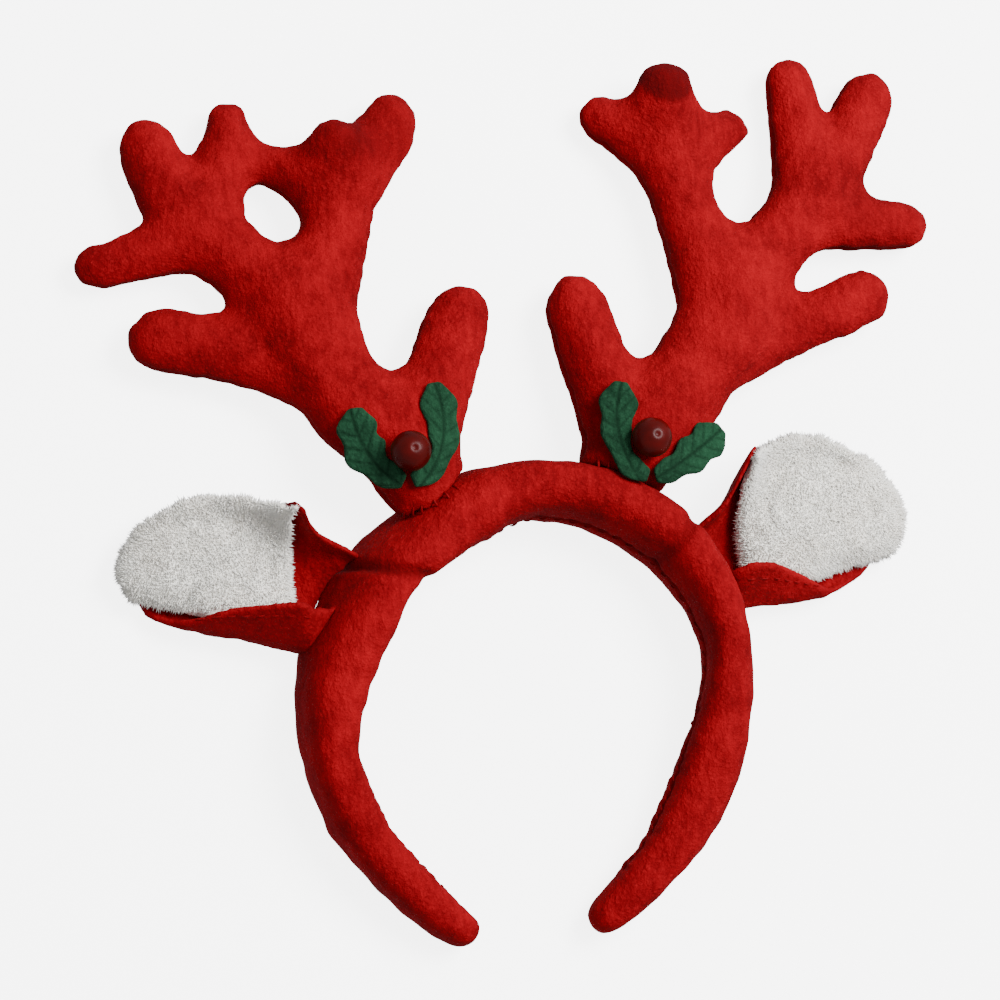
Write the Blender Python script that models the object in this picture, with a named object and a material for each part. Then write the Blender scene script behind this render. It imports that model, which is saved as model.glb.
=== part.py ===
"""Reindeer antler headband of red felt, lying on the back edge of its hoop.

World axes: +X to the wearer's left, +Y towards the antler tips, +Z off the floor.
The origin is the middle of the crown on the hoop's flat back edge, at Z = 0.
Sizes in the tables are whole or half millimetres, and MM turns them into metres.
"""

import math
from collections import namedtuple

import bmesh
import bpy
from mathutils import Vector
from mathutils.bvhtree import BVHTree

MM = 0.001

# Driving dimensions, in millimetres
CLEARANCE = 0.35          # air left between two pieces that touch
SEAT_CLEARANCE = 0.45     # the same round the hoop, where antlers and ears are cut to it
FELT = 2.0                # wall of a felt ear back
LEAF_FELT = 1.5
BERRY_DIAMETER = 12.5
BACK_EDGE_FLAT = 0.9      # how much of the hoop's round back edge is pressed flat
ANTLER_VOXEL = 3.6
ANTLER_SMOOTHING = 7
ANTLER_FACE_SHARE = 0.5
SMOOTHING_ALLOWANCE = 0.5  # added to a limb's radius, because smoothing takes it off again
STUFFING_FLATNESS = 0.55  # depth of a limb as a share of its breadth
STUFFING_DEPTH = 3.0      # added to half of that depth, so that thin tines stay plump
BALL_SIDES = 16

# The hoop from its left tip over the crown to its right tip.
# x, y: middle of the section.  width: along Z.  thickness: from the head outwards.
# lean: how far the front edge lies nearer to the head than the back edge.
HoopRow = namedtuple("HoopRow", "x y width thickness lean")
HOOP_ROWS = [
    HoopRow(-24, -135, 16, 10.5, 1),
    HoopRow(-32.5, -128.5, 18, 13, 1),
    HoopRow(-44.5, -116, 21, 13.5, 1),
    HoopRow(-54.5, -104, 23, 14.5, 1),
    HoopRow(-60, -91.5, 25, 15, 2),
    HoopRow(-63.5, -80, 27, 15, 2),
    HoopRow(-63.5, -67, 28, 17.5, 3),
    HoopRow(-61, -54.5, 29, 19, 8),
    HoopRow(-54.5, -40, 30, 18.5, 12),
    HoopRow(-46, -25, 30, 16.5, 13),
    HoopRow(-32.5, -14.5, 30, 17, 12),
    HoopRow(-15, -4.5, 30, 22, 5),
    HoopRow(3, 0, 30, 17, -2),
    HoopRow(22.5, -2.5, 30, 16.5, -4),
    HoopRow(40, -10.5, 30, 16, -5),
    HoopRow(52, -21, 30, 16, -4),
    HoopRow(60.5, -34.5, 30, 15.5, 0),
    HoopRow(65, -48, 29, 14, 2),
    HoopRow(65, -62, 28, 14.5, 3),
    HoopRow(62.5, -74.5, 27, 17, 2),
    HoopRow(58, -87, 25, 18.5, 1),
    HoopRow(52.5, -99, 23, 18.5, 0),
    HoopRow(44, -112, 22, 16, 0),
    HoopRow(35.5, -121, 20, 13.5, 0),
    HoopRow(27, -129, 18, 13, 0),
    HoopRow(20.5, -133.5, 16, 10.5, 0),
]
HOOP_STATIONS = 46
HOOP_SIDES = 16
HOOP_SQUARENESS = 0.7     # 1 is an ellipse, and less fills out the section's corners
HOOP_ENDING = [(0.80, 0.45), (0.60, 0.75), (0.30, 0.94)]  # reach past the tip, and size there

# An antler is a stuffed felt shape.  Each limb runs through soft balls.
# x, y: ball centre.  radius: half the limb's breadth.  lift: its underside above the floor.
Ball = namedtuple("Ball", "x y radius lift")
LEFT_ANTLER = {
    "stem": [Ball(-30, 3.5, 14.5, 5), Ball(-37, 17.5, 15, 4), Ball(-49, 26, 15, 3)],
    "beam": [
        Ball(-49, 26, 15, 3), Ball(-58, 38, 13.5, 2), Ball(-62, 54, 15.5, 1.5), Ball(-68, 63.5, 15, 1)],
    "brow_tine": [Ball(-30.5, 20, 13.5, 4), Ball(-20, 41, 11.5, 3), Ball(-13, 58, 10, 1)],
    "low_tine": [
        Ball(-63, 38, 9, 2), Ball(-81, 43.5, 9, 1.5), Ball(-92, 48, 10, 1), Ball(-110, 51, 10.5, 0)],
    "outer_branch": [Ball(-71, 64, 12, 1), Ball(-86.5, 78, 11, 1), Ball(-98, 87.5, 11, 0.5)],
    "outer_low_tine": [Ball(-98, 84, 10, 0.5), Ball(-118, 76.5, 7.5, 0), Ball(-129, 74.5, 6.5, 0)],
    "outer_mid_tine": [Ball(-99.5, 89.5, 10, 0.5), Ball(-107.5, 102, 9.5, 0), Ball(-110.5, 113, 9.5, 0)],
    "outer_top_tine": [Ball(-92, 88.5, 10, 0.5), Ball(-87.5, 104, 8.5, 0), Ball(-84, 121, 7.5, 0)],
    "inner_branch": [Ball(-62, 62, 14.5, 1), Ball(-52.5, 82, 11, 1), Ball(-50.5, 98, 11.5, 1)],
    "inner_side_tine": [Ball(-55, 99.5, 11, 1), Ball(-64.5, 105, 8, 1), Ball(-71.5, 107, 6, 1)],
    "inner_bent_tine": [Ball(-50, 101, 11, 1), Ball(-51, 110, 9, 8), Ball(-53, 112, 8, 11)],
    "inner_top_tine": [Ball(-47, 100, 11, 1), Ball(-37.5, 112, 10, 0), Ball(-32, 121.5, 9.5, 0)],
}
RIGHT_ANTLER = {
    "stem": [Ball(32, 3, 14, 5), Ball(45, 18, 15, 4), Ball(60.5, 35.5, 15, 2.5)],
    "beam": [Ball(60.5, 35.5, 15, 2.5), Ball(73.5, 54, 15.5, 1.5), Ball(77, 67, 15.5, 1)],
    "brow_tine": [Ball(37.5, 15, 13.5, 4), Ball(28.5, 39, 11.5, 3), Ball(24, 60, 10.5, 1)],
    "low_tine": [
        Ball(79, 41.5, 9, 2), Ball(92, 48, 8, 1.5), Ball(104, 54, 9, 1), Ball(123, 61.5, 10, 0)],
    "outer_branch": [Ball(81, 68.5, 13, 1), Ball(94.5, 81, 11.5, 1), Ball(105.5, 93, 11.5, 0.5)],
    "outer_low_tine": [Ball(107, 88, 9.5, 0.5), Ball(126, 87, 8, 0), Ball(141, 86, 8, 0)],
    "outer_mid_tine": [Ball(111, 97, 10.5, 0.5), Ball(122.5, 112.5, 9.5, 0), Ball(130.5, 130, 9.5, 0)],
    "outer_top_tine": [Ball(105, 97, 11, 0.5), Ball(105, 116, 8.5, 0), Ball(103, 135.5, 8.5, 0)],
    "inner_branch": [Ball(72, 68, 14.5, 1), Ball(64, 88, 10.5, 1), Ball(60, 105, 11, 1)],
    "inner_top_tine": [Ball(58, 107.5, 10, 1), Ball(47, 117, 8.5, 0), Ball(37.5, 123.5, 7.5, 0)],
    "inner_bent_tine": [Ball(60, 111, 10.5, 1), Ball(58.5, 122, 10.5, 4), Ball(57.5, 129.5, 10.5, 8)],
    "inner_side_tine": [Ball(65, 110, 10, 1), Ball(73.5, 116, 8.5, 0), Ball(80.5, 119, 7.5, 0)],
}

# A holly leaf's spine lies on the front of its antler.  half_width: to the leaf's edge.
LeafRow = namedtuple("LeafRow", "x y half_width")
HOLLY_LEAVES = {
    "holly_leaf_left_outer": ("antler_left", [
        LeafRow(-38.5, 2, 2.5), LeafRow(-44, 5, 4), LeafRow(-49.5, 11.5, 6), LeafRow(-52, 18.5, 6),
        LeafRow(-52.5, 25, 2.5)]),
    "holly_leaf_left_inner": ("antler_left", [
        LeafRow(-36, 2, 2.5), LeafRow(-29.5, 5.5, 3.5), LeafRow(-25, 13.5, 4), LeafRow(-25.5, 24, 6),
        LeafRow(-27, 33, 2.5)]),
    "holly_leaf_right_inner": ("antler_right", [
        LeafRow(39, 1.5, 2.5), LeafRow(33, 5, 3.5), LeafRow(30, 14, 4), LeafRow(31.5, 24, 6),
        LeafRow(33, 32, 2.5)]),
    "holly_leaf_right_outer": ("antler_right", [
        LeafRow(41.5, 1.5, 2.5), LeafRow(48, 4, 4), LeafRow(55, 8.5, 5.5), LeafRow(61, 13, 6),
        LeafRow(66, 17, 2.5)]),
}
LEAF_STATIONS = 16
LEAF_COLUMNS = 5
LEAF_SCALLOPS = 3
LEAF_SCALLOP_DEPTH = 0.18
LEAF_DROOP = 4.0          # how far a leaf hangs down where nothing lies under it
LEAF_EASING = 12
BERRY_SIDES = 16
BERRY_RINGS = 10
BERRIES = {"berry_left": ("antler_left", -37, 10.5), "berry_right": ("antler_right", 40, 13)}

# An ear is cut from its tip to the hoop into sections across its length, in Y and Z.
# The felt runs from the upper edge down to the floor of the cup, round the bulge
# and up to the rim that folds over the plush.
EarRow = namedtuple(
    "EarRow", "x upper_y upper_z floor_y floor_z bulge_y bulge_z rim_y rim_z")
LEFT_EAR = [
    EarRow(-52, -19, 15, -27, 8, -36, 10, -31, 14),
    EarRow(-66, -13, 22, -28, 5.5, -46.5, 10, -35, 20),
    EarRow(-71, -5, 27, -25, 4.5, -46.5, 10, -34, 27),
    EarRow(-78, -3, 15, -22, 4, -44, 9, -33.5, 26),
    EarRow(-95, -1, 9, -20, 3.5, -40, 8, -34, 20),
    EarRow(-109, -3, 8, -22, 3.5, -36.5, 7, -36, 13.5),
    EarRow(-119, -7, 7, -22, 4, -33, 6, -35.5, 10),
]
RIGHT_EAR = [
    EarRow(55, -16, 15, -22, 8, -31, 10, -28, 14),
    EarRow(65, -9, 22, -19, 5.5, -37.5, 10, -28, 20),
    EarRow(71, 1, 26, -15, 4.5, -38, 9.5, -26.5, 26),
    EarRow(76, 9, 26, -12, 4, -37.5, 9, -26, 25),
    EarRow(82, 11, 14, -10, 4, -37, 8.5, -26.5, 23),
    EarRow(95, 13, 9, -9, 3.5, -36, 7.5, -30, 16),
    EarRow(108, 12, 8, -10, 3.5, -33.5, 7, -33.5, 10),
    EarRow(121, 6, 7, -12, 4, -29, 6, -31, 7.5),
]
EAR_STATIONS = 18
EAR_COLUMNS = 14
EAR_TIP_ROUNDING = 6.0    # how far the tip is rounded back at its upper corner
EAR_RIM_ROUNDING = 10.0   # the same at the rim that folds over the plush

# The plush lining lies in the cup of its ear and stands out past the felt.
# start: distance of its end by the hoop from the middle of the headband.
# reach: how far its round end stands out past the ear's last section.
Lining = namedtuple("Lining", "start reach")
LININGS = {"left": Lining(70, 9), "right": Lining(73, 13)}
LINING_COLUMNS = 12       # columns of the ear section that the plush covers, from the upper edge
LINING_THICK = 7.0
LINING_EDGE_THICK = 3.0
LINING_OVERHANG = 6.5     # how far it stands past the felt's upper edge
LINING_CROWN = 0.6        # 1 is a sine across the pad, and less makes it flatter on top
LINING_TIP_STEPS = 5
LINING_TIP_FULLNESS = 0.8
LINING_CLEARANCE = 0.75   # between pad and felt, more than elsewhere, as the new skin is coarse
LINING_VOXEL = 2.2
LINING_SMOOTHING = 3
LINING_FACE_SHARE = 0.5


def clear_scene():
    for item in list(bpy.data.objects):
        bpy.data.objects.remove(item, do_unlink=True)


def material(name, colour, roughness, sheen=0.0):
    made = bpy.data.materials.new(name)
    made.use_nodes = True
    made.diffuse_color = (*colour, 1.0)
    surface = made.node_tree.nodes["Principled BSDF"]
    surface.inputs["Base Color"].default_value = (*colour, 1.0)
    surface.inputs["Roughness"].default_value = roughness
    surface.inputs["Metallic"].default_value = 0.0
    surface.inputs["Sheen Weight"].default_value = sheen
    return made


def new_object(name, shape, finish):
    """Turn a bmesh whose points are millimetres into an object of that name."""
    bmesh.ops.scale(shape, vec=(MM, MM, MM), verts=shape.verts)
    bmesh.ops.triangulate(shape, faces=shape.faces, quad_method="FIXED")
    bmesh.ops.recalc_face_normals(shape, faces=shape.faces)
    if shape.calc_volume(signed=True) < 0:
        bmesh.ops.reverse_faces(shape, faces=shape.faces)
    mesh = bpy.data.meshes.new(name)
    shape.to_mesh(mesh)
    shape.free()
    mesh.materials.append(finish)
    mesh.shade_smooth()
    made = bpy.data.objects.new(name, mesh)
    bpy.context.scene.collection.objects.link(made)
    return made


def hide_helper(helper):
    helper.hide_render = True
    helper.display_type = "WIRE"


def smooth_rows(rows, count):
    """Read count rows off the smooth curve that runs through the table's rows."""
    kind = type(rows[0])
    lengths = [0.0]
    for before, after in zip(rows, rows[1:]):
        lengths.append(lengths[-1] + math.dist(before[:2], after[:2]))
    read = []
    segment = 0
    for step in range(count):
        place = lengths[-1] * step / (count - 1)
        while segment < len(rows) - 2 and place > lengths[segment + 1]:
            segment += 1
        part = (place - lengths[segment]) / (lengths[segment + 1] - lengths[segment])
        around = [rows[max(0, min(len(rows) - 1, segment + shift))] for shift in (-1, 0, 1, 2)]
        values = []
        for a, b, c, d in zip(*around):
            bend = (2 * a - 5 * b + 4 * c - d) * part ** 2 + (3 * b - a - 3 * c + d) * part ** 3
            values.append(b + 0.5 * ((c - a) * part + bend))
        read.append(kind(*values))
    return read


def bridge_rings(shape, rings, closed):
    """Join neighbouring rings of points with quads; a closed ring ends where it starts."""
    for ring, following in zip(rings, rings[1:]):
        for i in range(len(ring) if closed else len(ring) - 1):
            j = (i + 1) % len(ring)
            shape.faces.new((ring[i], ring[j], following[j], following[i]))


def squared_wave(value):
    return math.copysign(abs(value) ** HOOP_SQUARENESS, value)


def hoop(name, finish, grow=0.0):
    """Sweep a soft rounded section along the hoop; grow adds to it on every side."""
    rows = smooth_rows(HOOP_ROWS, HOOP_STATIONS)
    frames = []
    for i, row in enumerate(rows):
        before = rows[max(0, i - 1)]
        after = rows[min(len(rows) - 1, i + 1)]
        along = Vector((after.x - before.x, after.y - before.y, 0)).normalized()
        frames.append((row, along, 0.0, 1.0))
    starts = [(*frames[0][:2], -reach, size) for reach, size in HOOP_ENDING]
    ends = [(*frames[-1][:2], reach, size) for reach, size in reversed(HOOP_ENDING)]
    shape = bmesh.new()
    rings = []
    for row, along, reach, size in starts + frames + ends:
        outward = Vector((-along.y, along.x, 0))
        half_thickness = row.thickness / 2 * size + grow
        half_width = row.width / 2 * size + grow
        middle = Vector((row.x, row.y, row.width / 2)) + along * reach * (row.thickness / 2 + grow)
        ring = []
        for side in range(HOOP_SIDES):
            angle = 2 * math.pi * side / HOOP_SIDES
            across = half_thickness * squared_wave(math.cos(angle))
            up = half_width * squared_wave(math.sin(angle))
            across -= row.lean * up / row.width
            point = middle + outward * across + Vector((0, 0, up - BACK_EDGE_FLAT))
            if grow == 0.0:
                point.z = max(0.0, point.z)
            ring.append(shape.verts.new(point))
        rings.append(ring)
    bridge_rings(shape, rings, closed=True)
    shape.faces.new(rings[0])
    shape.faces.new(rings[-1])
    return new_object(name, shape, finish)


def soft_ball_points(ball):
    """Points of a ball of stuffing that is flatter than it is broad."""
    radius = ball.radius + SMOOTHING_ALLOWANCE
    half_depth = STUFFING_FLATNESS * radius + STUFFING_DEPTH
    points = []
    for ring in range(1, BALL_SIDES // 2):
        tilt = 2 * math.pi * ring / BALL_SIDES
        for side in range(BALL_SIDES):
            turn = 2 * math.pi * side / BALL_SIDES
            points.append(Vector((
                ball.x + radius * math.sin(tilt) * math.cos(turn),
                ball.y + radius * math.sin(tilt) * math.sin(turn),
                ball.lift + half_depth * (1 + math.cos(tilt)))))
    return points


def antler(name, limbs, finish, hoop_clearance):
    """Hull each pair of neighbouring balls, melt the hulls into one skin and seat it."""
    shape = bmesh.new()
    for balls in limbs.values():
        for near, far in zip(balls, balls[1:]):
            hull = bmesh.new()
            points = [hull.verts.new(p) for p in soft_ball_points(near) + soft_ball_points(far)]
            result = bmesh.ops.convex_hull(hull, input=points)
            inside = [v for v in result["geom_interior"] if isinstance(v, bmesh.types.BMVert)]
            bmesh.ops.delete(hull, geom=inside, context="VERTS")
            piece = bpy.data.meshes.new("hull")
            hull.to_mesh(piece)
            hull.free()
            shape.from_mesh(piece)
            bpy.data.meshes.remove(piece)
    made = new_object(name, shape, finish)
    melt_together(made, ANTLER_VOXEL, ANTLER_SMOOTHING, ANTLER_FACE_SHARE)
    cut_clear(made, hoop_clearance)
    return made


def melt_together(piece, voxel, smoothing, face_share):
    """Give a stuffed piece one even skin with soft corners."""
    melt = piece.modifiers.new("one skin", "REMESH")
    melt.mode = "VOXEL"
    melt.voxel_size = voxel * MM
    melt.use_smooth_shade = True
    soften = piece.modifiers.new("soft corners", "SMOOTH")
    soften.factor = 0.5
    soften.iterations = smoothing
    lighten = piece.modifiers.new("fewer faces", "DECIMATE")
    lighten.ratio = face_share


def cut_clear(piece, cutter):
    seat = piece.modifiers.new("seat on the hoop", "BOOLEAN")
    seat.operation = "DIFFERENCE"
    seat.object = cutter
    seat.solver = "EXACT"


def height_finder(pieces):
    """Return a function that gives the height of the pieces' front at a place, in millimetres."""
    bpy.context.view_layer.update()
    graph = bpy.context.evaluated_depsgraph_get()
    trees = [BVHTree.FromObject(piece, graph) for piece in pieces]

    def height(x, y):
        hits = [tree.ray_cast(Vector((x * MM, y * MM, 0.1)), Vector((0, 0, -1))) for tree in trees]
        return max((hit[0].z / MM for hit in hits if hit[0]), default=None)
    return height


def holly_leaf(name, rows, height, finish):
    """Drape a scalloped felt leaf over the antler's front."""
    stations = smooth_rows(rows, LEAF_STATIONS)
    grid = []
    for i, row in enumerate(stations):
        before = stations[max(0, i - 1)]
        after = stations[min(LEAF_STATIONS - 1, i + 1)]
        along = Vector((after.x - before.x, after.y - before.y)).normalized()
        across = Vector((-along.y, along.x))
        wave = math.cos(2 * math.pi * LEAF_SCALLOPS * i / (LEAF_STATIONS - 1))
        half_width = row.half_width * (1 - LEAF_SCALLOP_DEPTH * wave)
        sides = [2 * column / (LEAF_COLUMNS - 1) - 1 for column in range(LEAF_COLUMNS)]
        grid.append([Vector((row.x, row.y)) + across * side * half_width for side in sides])
    levels = [[height(p.x, p.y) for p in line] for line in grid]
    known = [level for line in levels for level in line if level is not None]
    hanging = sum(known) / len(known) - LEAF_DROOP
    levels = [[hanging if level is None else level for level in line] for line in levels]
    floor = [list(line) for line in levels]
    for _ in range(LEAF_EASING):
        eased = [list(line) for line in levels]
        for i in range(LEAF_STATIONS):
            for j in range(LEAF_COLUMNS):
                near = [levels[a][b] for a, b in ((i - 1, j), (i + 1, j), (i, j - 1), (i, j + 1))
                        if 0 <= a < LEAF_STATIONS and 0 <= b < LEAF_COLUMNS]
                eased[i][j] = (levels[i][j] + sum(near) / len(near)) / 2
        levels = eased
    pairs = [(levels[i][j], floor[i][j]) for i in range(LEAF_STATIONS) for j in range(LEAF_COLUMNS)]
    lift = max(under - level for level, under in pairs) + CLEARANCE
    shape = bmesh.new()
    sheets = []
    for raise_by in (lift, lift + LEAF_FELT):
        sheets.append([[shape.verts.new((p.x, p.y, level + raise_by)) for p, level in zip(*lines)]
                       for lines in zip(grid, levels)])
    close_slab(shape, *sheets)
    return new_object(name, shape, finish)


def close_slab(shape, lower, upper):
    """Make a closed slab from two grids of points of the same size."""
    bridge_rings(shape, lower, closed=False)
    bridge_rings(shape, upper, closed=False)
    edges = []
    for sheet in (lower, upper):
        left = [line[0] for line in sheet]
        right = [line[-1] for line in reversed(sheet)]
        edges.append(sheet[0][::-1][:-1] + left[:-1] + sheet[-1][:-1] + right[:-1])
    bridge_rings(shape, edges, closed=True)


def berry(name, x, y, height, finish):
    """A ball that rests on the leaves and the antler under it."""
    radius = BERRY_DIAMETER / 2
    reach = radius + CLEARANCE
    centre = Vector((x, y, height(x, y) + reach))
    for ring in range(1, BERRY_RINGS):
        away = reach * ring / BERRY_RINGS
        for side in range(BERRY_SIDES):
            turn = 2 * math.pi * side / BERRY_SIDES
            under = height(x + away * math.cos(turn), y + away * math.sin(turn))
            if under is not None:
                centre.z = max(centre.z, under + math.sqrt(reach ** 2 - away ** 2))
    shape = bmesh.new()
    bmesh.ops.create_uvsphere(shape, u_segments=BERRY_SIDES, v_segments=BERRY_RINGS, radius=radius)
    bmesh.ops.translate(shape, vec=centre, verts=shape.verts)
    return new_object(name, shape, finish)


EarPoint = namedtuple("EarPoint", "y z")


def between(start, end, share_y, share_z):
    return EarPoint(
        start.y + share_y * (end.y - start.y), start.z + share_z * (end.z - start.z))


def ear_section(row):
    """Points of the felt's inner face across the ear, each with its normal into the cup."""
    upper, floor, bulge, rim = [EarPoint(*row[i:i + 2]) for i in (1, 3, 5, 7)]
    corners = [
        upper, between(upper, floor, 0.25, 0.65), floor, between(floor, bulge, 0.7, 0.5), bulge, rim]
    points = smooth_rows(corners, EAR_COLUMNS)
    section = []
    for i, point in enumerate(points):
        before = points[max(0, i - 1)]
        after = points[min(EAR_COLUMNS - 1, i + 1)]
        along = Vector((0, after.y - before.y, after.z - before.z)).normalized()
        section.append((Vector((row.x, *point)), Vector((0, along.z, -along.y))))
    return section


def ear_stations(rows):
    """The ear's sections from the hoop to the tip, whose corners are rounded back."""
    base, tip = rows[0].x, rows[-1].x
    stations = []
    for row in smooth_rows(rows, EAR_STATIONS):
        section = ear_section(row)
        out = (row.x - base) / (tip - base)
        for column, (point, _) in enumerate(section):
            across = 2 * column / (EAR_COLUMNS - 1) - 1
            rounding = EAR_TIP_ROUNDING * across ** 2
            if across > 0:
                rounding = EAR_RIM_ROUNDING * across ** 4
            point.x -= math.copysign(rounding, tip) * out ** 3
        stations.append(section)
    return stations


def ear_back(name, rows, finish, hoop_clearance):
    shape = bmesh.new()
    inner, outer = [], []
    for section in ear_stations(rows):
        inner.append([shape.verts.new(point) for point, _ in section])
        outer.append([shape.verts.new(point - into * FELT) for point, into in section])
    close_slab(shape, inner, outer)
    made = new_object(name, shape, finish)
    cut_clear(made, hoop_clearance)
    return made


def plush_lining(name, rows, lining, finish):
    """A pad that keeps clear of the felt cup below it, thickest along its middle."""
    sections = []
    for section in ear_stations(rows):
        if abs(section[0][0].x) < lining.start:
            continue
        lower, upper = [], []
        for column, (point, into) in enumerate(section[:LINING_COLUMNS]):
            crown = math.sin(math.pi * column / (LINING_COLUMNS - 1)) ** LINING_CROWN
            thick = LINING_EDGE_THICK + (LINING_THICK - LINING_EDGE_THICK) * crown
            lower.append(point + into * LINING_CLEARANCE)
            upper.append(point + into * (LINING_CLEARANCE + thick))
        outward = lower[0] - lower[1]
        outward.x = 0
        for line in (lower, upper):
            line.insert(0, line[0] + outward.normalized() * LINING_OVERHANG)
        sections.append((lower, upper))
    end = sections[-1]
    middle = sum(end[0] + end[1], Vector((0, 0, 0))) / (2 * len(end[0]))
    side = math.copysign(1, middle.x)
    for step in range(1, LINING_TIP_STEPS + 1):
        turn = math.pi / 2 * step / (LINING_TIP_STEPS + 1)  # stops short of a point
        reach = Vector((side * lining.reach * math.sin(turn), 0, 0))
        size = math.cos(turn) ** LINING_TIP_FULLNESS
        sections.append([[middle + reach + (point - middle) * size for point in line]
                         for line in end])
    shape = bmesh.new()
    sheets = []
    for layer in (0, 1):
        sheets.append([[shape.verts.new(point) for point in section[layer]]
                       for section in sections])
    close_slab(shape, *sheets)
    made = new_object(name, shape, finish)
    melt_together(made, LINING_VOXEL, LINING_SMOOTHING, LINING_FACE_SHARE)
    return made


clear_scene()
RED_FELT = material("red felt", (0.42, 0.012, 0.010), 0.95, 0.3)
GREEN_FELT = material("green felt", (0.012, 0.10, 0.035), 0.95, 0.2)
BERRY_GLOSS = material("dark red gloss", (0.06, 0.002, 0.002), 0.2)
WHITE_PLUSH = material("white plush", (0.80, 0.77, 0.70), 1.0, 0.5)

headband = hoop("headband", RED_FELT)
seat_cutter = hoop("hoop clearance", RED_FELT, SEAT_CLEARANCE)
hide_helper(seat_cutter)

antlers = {}
for antler_name, antler_limbs in (("antler_left", LEFT_ANTLER), ("antler_right", RIGHT_ANTLER)):
    antlers[antler_name] = antler(antler_name, antler_limbs, RED_FELT, seat_cutter)

heights = {antler_name: height_finder([piece, headband]) for antler_name, piece in antlers.items()}
carried = {antler_name: [piece, headband] for antler_name, piece in antlers.items()}
for leaf_name, (carrier, leaf_rows) in HOLLY_LEAVES.items():
    carried[carrier].append(holly_leaf(leaf_name, leaf_rows, heights[carrier], GREEN_FELT))
for berry_name, (carrier, berry_x, berry_y) in BERRIES.items():
    berry(berry_name, berry_x, berry_y, height_finder(carried[carrier]), BERRY_GLOSS)

for ear_side, ear_table in (("left", LEFT_EAR), ("right", RIGHT_EAR)):
    ear_back("ear_back_" + ear_side, ear_table, RED_FELT, seat_cutter)
    plush_lining("ear_lining_" + ear_side, ear_table, LININGS[ear_side], WHITE_PLUSH)
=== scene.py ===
"""Reindeer antler headband: a padded red felt hoop with stuffed antlers, holly and plush ears."""

import math

import bpy
import numpy as np
from mathutils import Matrix, Vector, noise
from mathutils.bvhtree import BVHTree


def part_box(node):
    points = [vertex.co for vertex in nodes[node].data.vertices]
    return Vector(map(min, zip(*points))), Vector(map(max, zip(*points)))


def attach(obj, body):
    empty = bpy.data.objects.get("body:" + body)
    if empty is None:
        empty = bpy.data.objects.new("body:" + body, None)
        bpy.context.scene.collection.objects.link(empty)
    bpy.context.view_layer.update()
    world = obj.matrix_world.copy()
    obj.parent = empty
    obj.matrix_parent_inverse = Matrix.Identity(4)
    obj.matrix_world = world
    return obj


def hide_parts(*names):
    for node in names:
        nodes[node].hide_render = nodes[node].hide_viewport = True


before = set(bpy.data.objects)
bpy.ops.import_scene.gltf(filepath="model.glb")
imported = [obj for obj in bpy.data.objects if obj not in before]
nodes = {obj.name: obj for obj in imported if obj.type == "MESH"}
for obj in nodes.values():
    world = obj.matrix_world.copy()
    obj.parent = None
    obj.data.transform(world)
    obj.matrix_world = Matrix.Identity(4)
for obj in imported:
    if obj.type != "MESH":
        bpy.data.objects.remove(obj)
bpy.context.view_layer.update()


# The camera looks steeply down on the headband from the wearer's lower right,
# turned a little on its own axis.  The floor is a plain white table top that gives off
# light, as in a catalogue picture.
def facing(azimuth, elevation):
    around, up = math.radians(azimuth), math.radians(elevation)
    return Vector((
        math.sin(around) * math.cos(up), -math.cos(around) * math.cos(up), math.sin(up)))


camera_distance = 0.9275
camera_roll = math.radians(3.7)
look_at = Vector((-0.001866, -0.000487, 0))
back = facing(azimuth=-59, elevation=73.7)
level_up = (Vector((0, 1, 0)) - back * back.y).normalized()
level_right = level_up.cross(back)
right = level_right * math.cos(camera_roll) - level_up * math.sin(camera_roll)
up = level_up * math.cos(camera_roll) + level_right * math.sin(camera_roll)
turn = Matrix((right, up, back)).transposed()
bpy.ops.object.camera_add(
    location=look_at + back * camera_distance, rotation=turn.to_euler())
camera = bpy.context.object
camera.data.lens = 105
camera.data.sensor_width = 36
bpy.context.scene.camera = camera

bpy.ops.object.select_all(action="DESELECT")
bpy.ops.mesh.primitive_plane_add(size=6, location=(0, 0, 0))
floor = bpy.context.object
floor.name = "table_top"
floor.visible_diffuse = False
floor.visible_glossy = False
table_paint = bpy.data.materials.new("pale_table_top")
table_paint.use_nodes = True
table_surface = table_paint.node_tree.nodes["Principled BSDF"]
table_surface.inputs["Base Color"].default_value = (0.9, 0.9, 0.9, 1)
table_surface.inputs["Roughness"].default_value = 0.8
table_surface.inputs["Emission Color"].default_value = (1, 1, 1, 1)
table_surface.inputs["Emission Strength"].default_value = 5.0
floor.data.materials.append(table_paint)


# Soft studio light: one broad lamp above and to the right, and an even white surround
# that leaves the sides away from the lamp in shade.
def soft_lamp(name, azimuth, elevation, distance, size, watts):
    direction = facing(azimuth, elevation)
    bpy.ops.object.light_add(
        type="AREA", location=look_at + direction * distance,
        rotation=direction.to_track_quat("Z", "Y").to_euler())
    lamp = bpy.context.object
    lamp.name = name
    lamp.data.size = size
    lamp.data.energy = watts


soft_lamp(
    "lamp_over_right_shoulder", azimuth=120, elevation=58, distance=1.2, size=0.6, watts=29)
surround = bpy.data.worlds.new("white_surround")
surround.use_nodes = True
surround_light = surround.node_tree.nodes["Background"]
surround_light.inputs["Color"].default_value = (1, 1, 1, 1)
surround_light.inputs["Strength"].default_value = 0.65
bpy.context.scene.world = surround


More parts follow.
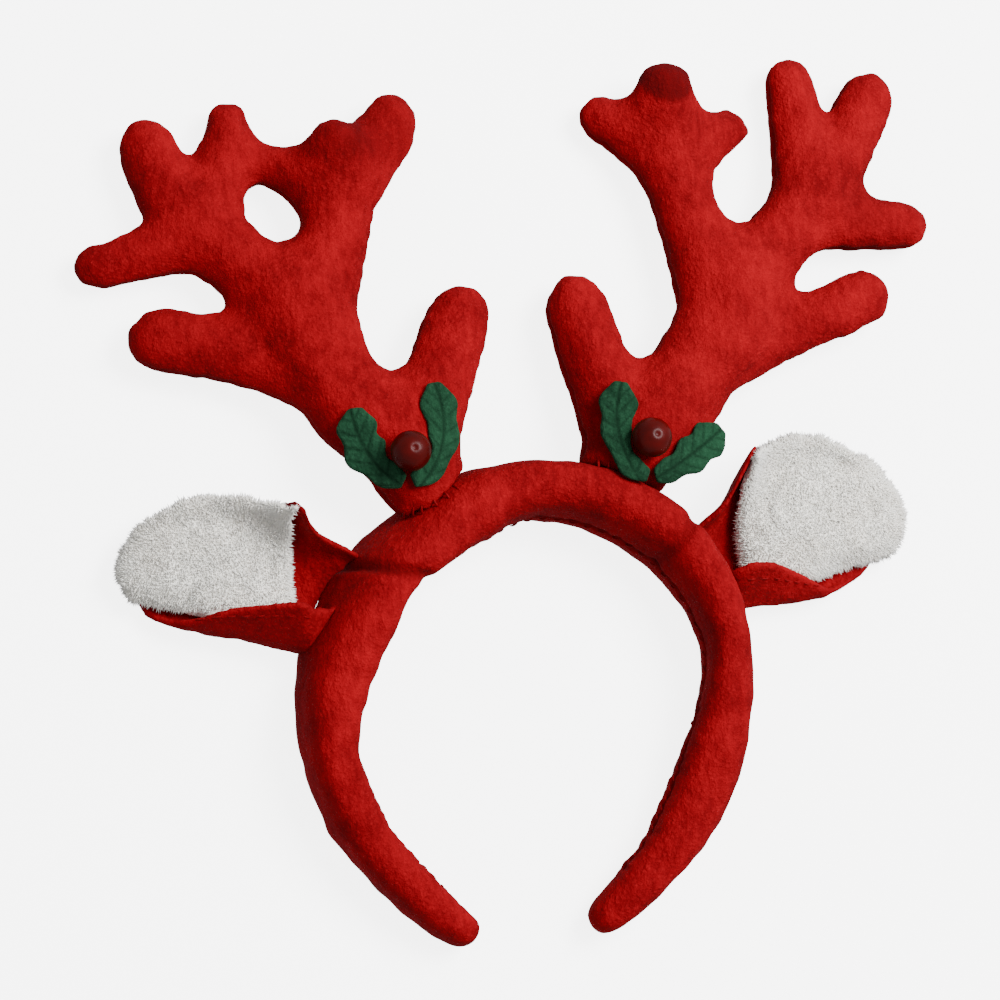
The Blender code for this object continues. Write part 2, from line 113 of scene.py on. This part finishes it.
# Materials are wired through this one class, so that their patterns read as plain sums.
class Shade:
    """An output in the node tree that is being wired, which Python's own signs work on."""

    tree = None

    def __init__(self, socket):
        self.socket = socket

    @classmethod
    def node(cls, kind, settings, sockets, output=0):
        made = cls.tree.nodes.new("ShaderNode" + kind)
        for name, value in settings.items():
            setattr(made, name, value)
        for name, value in sockets.items():
            if isinstance(value, cls):
                cls.tree.links.new(value.socket, made.inputs[name])
            else:
                made.inputs[name].default_value = value
        return cls(made.outputs[output])

    def work(self, operation, first, second):
        return self.node("Math", {"operation": operation}, {0: first, 1: second})

    def __add__(self, other):
        return self.work("ADD", self, other)

    def __mul__(self, other):
        return self.work("MULTIPLY", self, other)

    def __rsub__(self, other):
        return self.work("SUBTRACT", other, self)

    __radd__ = __add__
    __rmul__ = __mul__

    def between(self, low, high):
        """0 below low, 1 above high, and a straight slope between them."""
        return self.node(
            "MapRange", {"clamp": True},
            {"Value": self, "From Min": low, "From Max": high, "To Min": 0.0, "To Max": 1.0})

    def blend(self, start, end):
        """A colour from start to end as this value goes from 0 to 1."""
        colours = [c if isinstance(c, Shade) else (*c, 1.0) for c in (start, end)]
        return self.node(
            "Mix", {"data_type": "RGBA"}, {0: self, 6: colours[0], 7: colours[1]}, output=2)


def start_material(name, roughness, sheen, sheen_tint=(1, 1, 1)):
    """A new material with the low gloss of cloth, and its surface shader."""
    made = bpy.data.materials.new(name)
    made.use_nodes = True
    Shade.tree = made.node_tree
    surface = made.node_tree.nodes["Principled BSDF"]
    surface.inputs["Roughness"].default_value = roughness
    surface.inputs["Sheen Weight"].default_value = sheen
    surface.inputs["Sheen Roughness"].default_value = 0.45
    surface.inputs["Sheen Tint"].default_value = (*sheen_tint, 1)
    surface.inputs["Specular IOR Level"].default_value = 0.08
    return made, surface


def grain(place, scale, detail=2.0, rough=0.5, stretch=(1, 1, 1)):
    """Cloudy noise with lumps about 1/scale metres wide, longer where stretch is small."""
    drawn = Shade.node("Mapping", {}, {"Vector": place, "Scale": stretch})
    return Shade.node(
        "TexNoise", {}, {"Vector": drawn, "Scale": scale, "Detail": detail, "Roughness": rough})


def finish_surface(surface, colour, height, depth, strength=1.0):
    bump = Shade.node("Bump", {}, {"Height": height, "Distance": depth, "Strength": strength})
    Shade.tree.links.new(colour.socket, surface.inputs["Base Color"])
    Shade.tree.links.new(bump.socket, surface.inputs["Normal"])


def felt(name, deep, lit, frayed, pressed_and_painted_shade_colour, sheen):
    """Brushed felt with small pills, darker where its attribute of flat nap and painted shade rises
    to 1.
    """
    made, surface = start_material(name, 0.92, sheen, lit)
    place = Shade.node("TexCoord", {}, {}, output="Object")
    patches = grain(place, 55, 3).between(0.35, 0.65)
    brushed = grain(place, 420, 4, 0.6, (1, 0.45, 1)).between(0.3, 0.7)
    fibres = grain(place, 1500, 3, 0.7).between(0.25, 0.75)
    pills = Shade.node("TexVoronoi", {"feature": "F1"}, {"Vector": place, "Scale": 620.0})
    pills = 1 - pills.between(0.0, 0.55)
    pressed_and_painted_shade = Shade.node("Attribute", {"attribute_name": "pressed_and_painted_shade"}, {}, output="Fac")
    tone = 0.35 * patches + 0.35 * brushed + 0.3 * fibres
    colour = tone.between(0.2, 0.8).blend(deep, lit)
    colour = (pills * fibres * 0.35).blend(colour, frayed)
    # The darkest colour stands for flattened nap in seams and veins, and for painted shade.
    colour = pressed_and_painted_shade.blend(colour, pressed_and_painted_shade_colour)
    height = 0.5 * fibres + 0.6 * brushed + 0.5 * pills
    finish_surface(surface, colour, height, depth=0.0005, strength=0.8)
    return made


red_felt = felt(
    "red_felt_nap", deep=(0.130, 0.0007, 0.0028), lit=(0.290, 0.0020, 0.0062),
    frayed=(0.42, 0.009, 0.014), pressed_and_painted_shade_colour=(0.045, 0.0003, 0.0010), sheen=0.12)


# The hoop is a tube of red felt drawn over a padded band and closed by hand along the
# side that lies on the head.  Its padding folds where the band twists over the crown.
def only(piece):
    bpy.ops.object.select_all(action="DESELECT")
    piece.select_set(True)
    bpy.context.view_layer.objects.active = piece


def apply(piece, name, kind, **settings):
    only(piece)
    step = piece.modifiers.new(name, kind)
    for setting, value in settings.items():
        setattr(step, setting, value)
    bpy.ops.object.modifier_apply(modifier=name)


same_point = 0.00002
filling_steps = 20


def merged_copy(node, name):
    """A copy of a solid whose loose triangles are joined into one skin."""
    piece = nodes[node].copy()
    piece.data = nodes[node].data.copy()
    piece.name = name
    piece.parent = None
    piece.matrix_world = Matrix.Identity(4)
    bpy.context.scene.collection.objects.link(piece)
    only(piece)
    bpy.ops.object.mode_set(mode="EDIT")
    bpy.ops.mesh.select_all(action="SELECT")
    bpy.ops.mesh.remove_doubles(threshold=same_point)
    bpy.ops.mesh.normals_make_consistent(inside=False)
    bpy.ops.object.mode_set(mode="OBJECT")
    piece.data.materials.clear()
    return piece


def points_of(piece):
    flat = np.empty(len(piece.data.vertices) * 3)
    piece.data.vertices.foreach_get("co", flat)
    return flat.reshape(-1, 3)


def normals_of(piece):
    return np.array([vertex.normal for vertex in piece.data.vertices])


def place_points(piece, points):
    """Move the piece's points, and keep them above the table that it lies on."""
    points[:, 2] = np.maximum(points[:, 2], 0.0)
    piece.data.vertices.foreach_set("co", points.ravel())
    piece.data.update()


def fill(piece, pressure, most):
    """Let the cover swell round its filling, with no point moving further than most."""
    start = points_of(piece)
    only(piece)
    cloth = piece.modifiers.new("filling", "CLOTH")
    cloth.settings.quality = 5
    cloth.settings.use_pressure = True
    cloth.settings.uniform_pressure_force = pressure
    cloth.settings.effector_weights.gravity = 0
    cloth.collision_settings.use_collision = False
    cloth.point_cache.frame_end = filling_steps
    for step in range(1, filling_steps + 1):
        bpy.context.scene.frame_set(step)
    bpy.ops.object.modifier_apply(modifier="filling")
    bpy.context.scene.frame_set(1)
    moved = points_of(piece) - start
    lengths = np.linalg.norm(moved, axis=1, keepdims=True)
    place_points(piece, start + moved * np.minimum(1, most / np.maximum(lengths, 1e-9)))


def stuffed_copy(node, name, voxel, inset, pressure, most):
    """A rounder skin for a solid, set back by inset and then filled like a cushion."""
    piece = merged_copy(node, name)
    apply(piece, "rounder outline", "SUBSURF", levels=1, render_levels=1)
    apply(piece, "even mesh", "REMESH", mode="VOXEL", voxel_size=voxel)
    apply(piece, "soft edges", "SMOOTH", factor=0.5, iterations=7)
    place_points(piece, points_of(piece) - normals_of(piece) * inset)
    fill(piece, pressure, most)
    apply(piece, "round", "SUBSURF", levels=1, render_levels=1)
    return piece


def cloud(points, scale, shift=0.0):
    """Smooth noise from -1 to 1 at each point."""
    aside = Vector((shift, 0, 0))
    return np.array([noise.noise(Vector(point) * scale + aside) for point in points])


def cover(piece, node, material):
    """Hand a finished piece over in place of its solid."""
    piece.data.materials.append(material)
    only(piece)
    bpy.ops.object.shade_smooth()
    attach(piece, "root")
    if node:
        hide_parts(node)


def mark_pressed_and_painted_shade(piece, amounts):
    """Keep, for the felt's colour, how dark each point is, from 0 to 1: flat nap in seams and
    veins, and painted shade.
    """
    pressed_and_painted_shade = piece.data.attributes.new("pressed_and_painted_shade", "FLOAT", "POINT")
    pressed_and_painted_shade.data.foreach_set("value", np.clip(amounts, 0, 1))


def distance_to_path(points, path):
    """How far each point is from a path of straight pieces, in X and Y or in all three axes."""
    nearest = np.full(len(points), np.inf)
    for begin, finish in zip(np.array(path), np.array(path[1:])):
        reach = points[:, :len(begin)] - begin
        along = finish - begin
        share = np.clip(reach @ along / (along @ along), 0, 1)
        nearest = np.minimum(nearest, np.linalg.norm(reach - share[:, None] * along, axis=1))
    return nearest


def groove(distance, width):
    """1 on a line, falling softly to nothing at about twice the width."""
    return np.exp(-(distance / width) ** 2)


def first_hit(piece, start, direction):
    """Where a line from start first meets the piece, and the piece's outward direction there."""
    bpy.context.view_layer.update()
    met, place, outward, _ = piece.ray_cast(Vector(start), Vector(direction))
    return (place, outward) if met else None


def around_hoop(bearings, heights, per_turn, per_metre, shift):
    """Smooth noise that runs round the hoop, finer with more per turn or per metre of height."""
    drawn = np.column_stack((bearings * per_turn, heights * per_metre, bearings * 0))
    return cloud(drawn, 1.0, shift)


headband = stuffed_copy(
    "headband", "hoop_cover", voxel=0.0020, inset=-0.0004, pressure=4.0, most=0.0012)
head_middle = Vector((0, -0.078, 0))
seam_width = 0.0011
seam_depth = 0.0011
gather_reach = 0.007
seam_line = []
for bearing in np.radians(np.arange(-147, 149, 4.0)):
    towards_tip = np.clip((abs(bearing) - 1.7) / 0.9, 0, 1)
    seam_start = head_middle + Vector((0, 0, 0.013 - 0.004 * towards_tip))
    hit = first_hit(headband, seam_start, (math.sin(bearing), math.cos(bearing), 0))
    if hit:
        seam_line.append(hit)
left_fold = [(-0.0640, -0.0185), (-0.0525, -0.0221), (-0.0449, -0.0245), (-0.0330, -0.0275)]
right_fold = [(0.0380, -0.0305), (0.0459, -0.0215), (0.0560, -0.0100)]
points = points_of(headband)
normals = normals_of(headband)
bearings = np.arctan2(points[:, 0] - head_middle.x, points[:, 1] - head_middle.y)
from_seam = distance_to_path(points, [tuple(place) for place, _ in seam_line])
front = np.clip(normals[:, 2] + 0.6, 0, 1)
folds = front * (
    0.0021 * groove(distance_to_path(points, left_fold), 0.0021)
    + 0.0013 * groove(distance_to_path(points, right_fold), 0.0024))
gathers = around_hoop(bearings, points[:, 2], 26, 60, shift=7)
creases = around_hoop(bearings, points[:, 2], 9, 25, shift=2)
height = cloud(points, 60) * 0.0005 + cloud(points, 190, 5) * 0.00025 + creases * 0.0005
height += (
    gathers * 0.0006 * groove(from_seam, gather_reach)
    - seam_depth * groove(from_seam, seam_width) - folds)
place_points(headband, points + normals * height[:, None])
# The seam's line is darker where its nap is flattened; the folds are painted darker, as painted
# shade in their creases.
fold_depth_of_full_painted_shade = 0.0035
mark_pressed_and_painted_shade(headband, 0.75 * groove(from_seam, seam_width) + folds / fold_depth_of_full_painted_shade)
cover(headband, "headband", red_felt)


def many(one, name, turns, places):
    """One mesh with a copy of the modelled piece at each place, turned and sized by its matrix."""
    shape = points_of(one)
    faces = [tuple(face.vertices) for face in one.data.polygons]
    spread = np.einsum("nij,vj->nvi", turns, shape) + places[:, None]
    starts = range(0, len(shape) * len(places), len(shape))
    mesh = bpy.data.meshes.new(name)
    mesh.from_pydata(
        spread.reshape(-1, 3).tolist(), [],
        [[start + corner for corner in face] for start in starts for face in faces])
    bpy.data.objects.remove(one)
    made = bpy.data.objects.new(name, mesh)
    bpy.context.scene.collection.objects.link(made)
    return made


def sew(name, spans, thickness, thread):
    """Sew a row of stitches, each from one place to another on a surface that faces outward."""
    bpy.ops.object.select_all(action="DESELECT")
    bpy.ops.mesh.primitive_uv_sphere_add(segments=8, ring_count=6, radius=0.5)
    stitch = bpy.context.object
    bent = points_of(stitch)[:, (2, 1, 0)]
    bent[:, 0] = np.sign(bent[:, 0]) * np.abs(2 * bent[:, 0]) ** 0.6 / 2
    bent[:, 2] += 0.35 - 3.0 * bent[:, 0] ** 2
    stitch.data.vertices.foreach_set("co", bent.ravel())
    turns, places = [], []
    for begin, finish, outward in spans:
        along = finish - begin
        across = outward.cross(along).normalized()
        rise = along.cross(across).normalized()
        turns.append(np.column_stack((along * 1.15, across * thickness, rise * thickness)))
        places.append((begin + finish) / 2)
    row = many(stitch, name, np.array(turns), np.array(places))
    apply(row, "round", "SUBSURF", levels=1, render_levels=1)
    only(row)
    bpy.ops.object.mode_set(mode="EDIT")
    bpy.ops.mesh.select_all(action="SELECT")
    bpy.ops.mesh.normals_make_consistent(inside=False)
    bpy.ops.object.mode_set(mode="OBJECT")
    cover(row, None, thread)


def thread_finish(name, dark, light):
    made, surface = start_material(name, 0.7, 0.0)
    place = Shade.node("TexCoord", {}, {}, output="Object")
    strands = grain(place, 2600, 2).between(0.3, 0.7)
    finish_surface(surface, strands.blend(dark, light), strands, 0.0001, 0.5)
    return made


red_thread = thread_finish("red_thread", dark=(0.10, 0.0005, 0.002), light=(0.24, 0.0015, 0.005))
slant = Vector((0, 0, 0.0011))
half_lean = 0.0010
seam_spans = []
for (before, _), (after, outward) in zip(seam_line, seam_line[1:]):
    middle = before.lerp(after, 0.5)
    lean = (after - before).normalized() * half_lean
    seam_spans.append((middle - slant - lean, middle + slant + lean, outward))
fine_thread = 0.0007
sew("hoop_seam_stitches", seam_spans, fine_thread, red_thread)


# Each antler is cut twice from felt, sewn together round its edge, turned and stuffed.
# The seam draws a line along its sides, and small puckers run across it.
def antler_cover(node, name, painted_shade_tips):
    """An antler's skin, darker along its seam, with painted shade round each middle in the list of
    tips.
    """
    piece = stuffed_copy(node, name, voxel=0.0019, inset=-0.0005, pressure=4.0, most=0.0012)
    points = points_of(piece)
    normals = normals_of(piece)
    upright = np.abs(normals[:, 2])
    seam = groove(upright, 0.13)
    beside = groove(upright - 0.35, 0.2)
    across = points * np.array((300, 300, 60))
    puckers = cloud(across, 1.0, 3) * 0.0007 * np.clip(1.1 - upright, 0, 1) ** 2
    lumps = cloud(points, 75) * 0.0007 + cloud(points, 210, 9) * 0.0002
    height = lumps + puckers + 0.0003 * beside - 0.0008 * seam
    place_points(piece, points + normals * height[:, None])
    pressed_and_painted_shade = 0.45 * seam
    seen_from_front = np.clip(normals[:, 2] + 1, 0, 1)
    # Painted shade: the felt is painted darker round each listed middle, where a tine or top turns
    # away from the lamp.
    for middle, reach, edge, amount in painted_shade_tips:
        away = np.linalg.norm(points[:, :2] - np.array(middle), axis=1)
        pressed_and_painted_shade += amount * np.clip((reach - away) / edge + 0.5, 0, 1) * seen_from_front
    mark_pressed_and_painted_shade(piece, pressed_and_painted_shade)
    cover(piece, node, red_felt)
    return piece


# The listed spots are painted shade on tines and tops that turn away from the light.
antlers = {
    "left": antler_cover("antler_left", "stuffed_antler_left", [
        ((-0.0530, 0.1130), 0.010, 0.004, 0.30), ((-0.0365, 0.1180), 0.015, 0.014, 0.30),
        ((-0.1060, 0.0460), 0.014, 0.014, 0.20)]),
    "right": antler_cover("antler_right", "stuffed_antler_right", [
        ((0.0575, 0.1330), 0.0095, 0.002, 0.70), ((0.1290, 0.0850), 0.014, 0.014, 0.20)]),
}


# The antlers stand on the hoop's edge and are held by a few strong stitches round the foot.
well_above = 0.1
strong_thread = 0.0009
half_foot_stitch = 0.0013
longest_foot_stitch = 0.007


def top_of(pieces, spot):
    """The highest place under a spot on any of the pieces, with its outward direction."""
    hits = [first_hit(piece, spot, (0, 0, -1)) for piece in pieces]
    return max((hit for hit in hits if hit), key=lambda hit: hit[0].z, default=None)


def foot_stitches(side, path):
    """Three stitches across each straight piece of the line between antler and hoop."""
    spans = []
    for begin, finish in zip(path, path[1:]):
        along = Vector((*finish, 0)) - Vector((*begin, 0))
        across = Vector((-along.y, along.x, 0)).normalized() * half_foot_stitch
        for share in (0.2, 0.5, 0.8):
            spot = Vector((*begin, well_above)) + along * share
            ends = [top_of((antlers[side], headband), spot + shift) for shift in (across, -across)]
            if all(ends) and (ends[0][0] - ends[1][0]).length < longest_foot_stitch:
                outward = (ends[0][1] + ends[1][1]).normalized()
                spans.append((ends[0][0], ends[1][0], outward))
    sew("foot_stitches_" + side, spans, strong_thread, red_thread)


foot_stitches("left", [
    (-0.0430, -0.0035), (-0.0389, -0.0073), (-0.0309, -0.0060), (-0.0190, 0.0015)])
foot_stitches("right", [(0.0225, 0.0070), (0.0326, 0.0050), (0.0420, 0.0005)])


# The holly leaves are die-cut from thin green felt, with a vein pressed down the middle.
# They are tacked to the antlers' fronts with their bases together.
green_felt = felt(
    "green_felt_nap", deep=(0.005, 0.024, 0.011), lit=(0.014, 0.062, 0.029),
    frayed=(0.035, 0.11, 0.06), pressed_and_painted_shade_colour=(0.002, 0.012, 0.005), sheen=0.08)
vein_step = 0.0048
mid_vein_width = 0.0006
side_vein_width = 0.0005
vein_depth = 0.0004


def leaf_cover(node):
    piece = merged_copy(node, node.replace("holly_leaf", "felt_leaf"))
    apply(piece, "rounder outline", "SUBSURF", levels=2, render_levels=2)
    apply(piece, "even mesh", "REMESH", mode="VOXEL", voxel_size=0.00045)
    apply(piece, "soft edges", "SMOOTH", factor=0.5, iterations=5)
    points = points_of(piece)
    normals = normals_of(piece)
    flat = points[:, :2] - points[:, :2].mean(axis=0)
    length_way, width_way = np.linalg.svd(flat, full_matrices=False)[2]
    length_way = length_way * math.copysign(1, length_way[1])
    run, side = flat @ length_way, flat @ width_way
    off_spine = np.abs(side - np.polyval(np.polyfit(run, side, 2), run))
    along_vein = (run - off_spine * 0.9) / vein_step
    side_veins = groove((along_vein - np.round(along_vein)) * vein_step, side_vein_width)
    side_veins = side_veins * np.clip(off_spine / 0.0015, 0, 0.7)
    veins = np.maximum(groove(off_spine, mid_vein_width), side_veins)
    height = 0.0002 + cloud(points, 260) * 0.0002
    height = height - vein_depth * veins * np.clip(normals[:, 2], 0, 1)
    place_points(piece, points + normals * height[:, None])
    mark_pressed_and_painted_shade(piece, 0.7 * veins)
    cover(piece, node, green_felt)


for side in ("left", "right"):
    for place in ("outer", "inner"):
        leaf_cover(f"holly_leaf_{side}_{place}")


# The berries are glossy dark red balls, sewn on through a small hole.
def berry_gloss():
    made, surface = start_material("berry_gloss", 0.34, 0.0)
    surface.inputs["Specular IOR Level"].default_value = 0.12
    place = Shade.node("TexCoord", {}, {}, output="Object")
    cloudy = grain(place, 160, 3).between(0.3, 0.7)
    pits = grain(place, 900, 2).between(0.4, 0.8)
    colour = cloudy.blend((0.034, 0.0008, 0.0006), (0.072, 0.0014, 0.0010))
    finish_surface(surface, colour, pits, depth=0.0001, strength=0.3)
    return made


glossy_red = berry_gloss()
hole_width = 0.0007
hole_depth = 0.0006
for side in ("left", "right"):
    low, high = (Vector(corner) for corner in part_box("berry_" + side))
    centre = (low + high) / 2
    radius = (high.z - low.z) / 2
    bpy.ops.object.select_all(action="DESELECT")
    bpy.ops.mesh.primitive_uv_sphere_add(segments=48, ring_count=32, radius=radius, location=centre)
    bead = bpy.context.object
    bead.name = "bead_" + side
    bpy.ops.object.transform_apply(location=True, rotation=True, scale=True)
    beads = points_of(bead)
    from_axis = np.linalg.norm(beads[:, :2] - np.array(centre[:2]), axis=1)
    dimple = groove(from_axis, hole_width) * hole_depth
    beads[:, 2] -= np.where(beads[:, 2] > centre.z, dimple, 0)
    place_points(bead, beads)
    cover(bead, "berry_" + side, glossy_red)


# Each ear has a back of red felt, folded forwards along its lower edge, and its
# upper corner stands up beside the hoop.  The felt is drawn in and sewn down on the hoop.
hoop_skin = BVHTree.FromObject(headband, bpy.context.evaluated_depsgraph_get())
sewn_reach = 0.0055


def ear_back_cover(side):
    piece = merged_copy("ear_back_" + side, "felt_ear_" + side)
    apply(piece, "even mesh", "REMESH", mode="VOXEL", voxel_size=0.0007)
    apply(piece, "soft edges", "SMOOTH", factor=0.5, iterations=8)
    points = points_of(piece)
    normals = normals_of(piece)
    points += normals * (0.00015 + cloud(points, 160) * 0.0002)[:, None]
    for index, point in enumerate(points):
        on_hoop, _, _, gap = hoop_skin.find_nearest(Vector(point), sewn_reach)
        if on_hoop:
            points[index] += (np.array(on_hoop) - point) * (1 - gap / sewn_reach)
    place_points(piece, points)
    mark_pressed_and_painted_shade(piece, points[:, 0] * 0)
    cover(piece, "ear_back_" + side, red_felt)
    return piece


ears = {side: ear_back_cover(side) for side in ("left", "right")}
running_stitch_step = 0.0042
longest_rim_stitch = 0.006


def rim_stitches(side, path):
    """A running stitch of short dashes along the rim that folds over the plush."""
    spans = []
    for begin, finish in zip(path, path[1:]):
        steps = max(1, round(math.dist(begin, finish) / running_stitch_step))
        for step in range(steps):
            ends = []
            for share in ((step + 0.15) / steps, (step + 0.75) / steps):
                spot = Vector((*begin, well_above)).lerp(Vector((*finish, well_above)), share)
                ends.append(first_hit(ears[side], spot, (0, 0, -1)))
            if all(ends) and (ends[0][0] - ends[1][0]).length < longest_rim_stitch:
                spans.append((ends[0][0], ends[1][0], ends[0][1]))
    sew("rim_stitches_" + side, spans, fine_thread, red_thread)


rim_stitches("left", [(-0.068, -0.0385), (-0.078, -0.0375), (-0.095, -0.0365), (-0.104, -0.0368)])
rim_stitches("right", [(0.070, -0.0315), (0.080, -0.0310), (0.095, -0.0330), (0.103, -0.0335)])


# The ears are lined with pads of white plush, whose short pile stands up in small tufts.
def plush_finish():
    made, surface = start_material("white_plush_pile", 0.9, 1.0)
    place = Shade.node("TexCoord", {}, {}, output="Object")
    clumps = grain(place, 110, 4).between(0.35, 0.65)
    strands = grain(place, 900, 4, 0.7).between(0.25, 0.75)
    tone = (0.6 * clumps + 0.4 * strands).between(0.1, 0.8)
    colour = tone.blend((0.96, 0.92, 0.85), (1.0, 0.98, 0.92))
    finish_surface(surface, colour, clumps + 0.5 * strands, 0.0006, 0.5)
    return made


white_plush = plush_finish()
pile_draws = np.random.default_rng(12)
pile_length = 0.0019
pile_length_spread = 0.0004
tuft_radius = 0.00042
tuft_root_depth = 0.0003
felt_overhead = 0.006
resting_edge = 0.004


def plush_pad(side):
    piece = stuffed_copy(
        "ear_lining_" + side, "plush_pad_" + side,
        voxel=0.0013, inset=0.0002, pressure=3.0, most=0.0010)
    points = points_of(piece)
    normals = normals_of(piece)
    lumps = cloud(points, 90) * 0.0007 + cloud(points, 260, 4) * 0.0004
    place_points(piece, points + normals * lumps[:, None])
    cover(piece, "ear_lining_" + side, white_plush)
    return piece


def plush_pile(side, pad):
    """Tufts on all of the pad that the felt doesn't cover."""
    bpy.ops.object.select_all(action="DESELECT")
    bpy.ops.mesh.primitive_cone_add(vertices=3, radius1=1.0, depth=1.0, location=(0, 0, 0.5))
    tuft = bpy.context.object
    bpy.ops.object.transform_apply(location=True, rotation=True, scale=True)
    points, normals = points_of(pad), normals_of(pad)
    felt_cup = BVHTree.FromObject(ears[side], bpy.context.evaluated_depsgraph_get())
    middle = points.mean(axis=0)
    turns, places = [], []
    for place, outward in zip(points, normals):
        draws = pile_draws.normal(size=4)
        covered = felt_cup.ray_cast(Vector(place), Vector(outward), felt_overhead)[0]
        if place[2] < resting_edge or covered:
            continue
        combed = (place - middle) * 9
        strand = Vector(outward + combed + draws[:3] * 0.28).normalized()
        across = strand.orthogonal().normalized()
        length = pile_length + pile_length_spread * draws[3]
        turns.append(np.column_stack((
            across * tuft_radius, strand.cross(across) * tuft_radius, strand * length)))
        places.append(place - outward * tuft_root_depth)
    pile = many(tuft, "plush_pile_" + side, np.array(turns), np.array(places))
    cover(pile, None, white_plush)


for side in ("left", "right"):
    plush_pile(side, plush_pad(side))
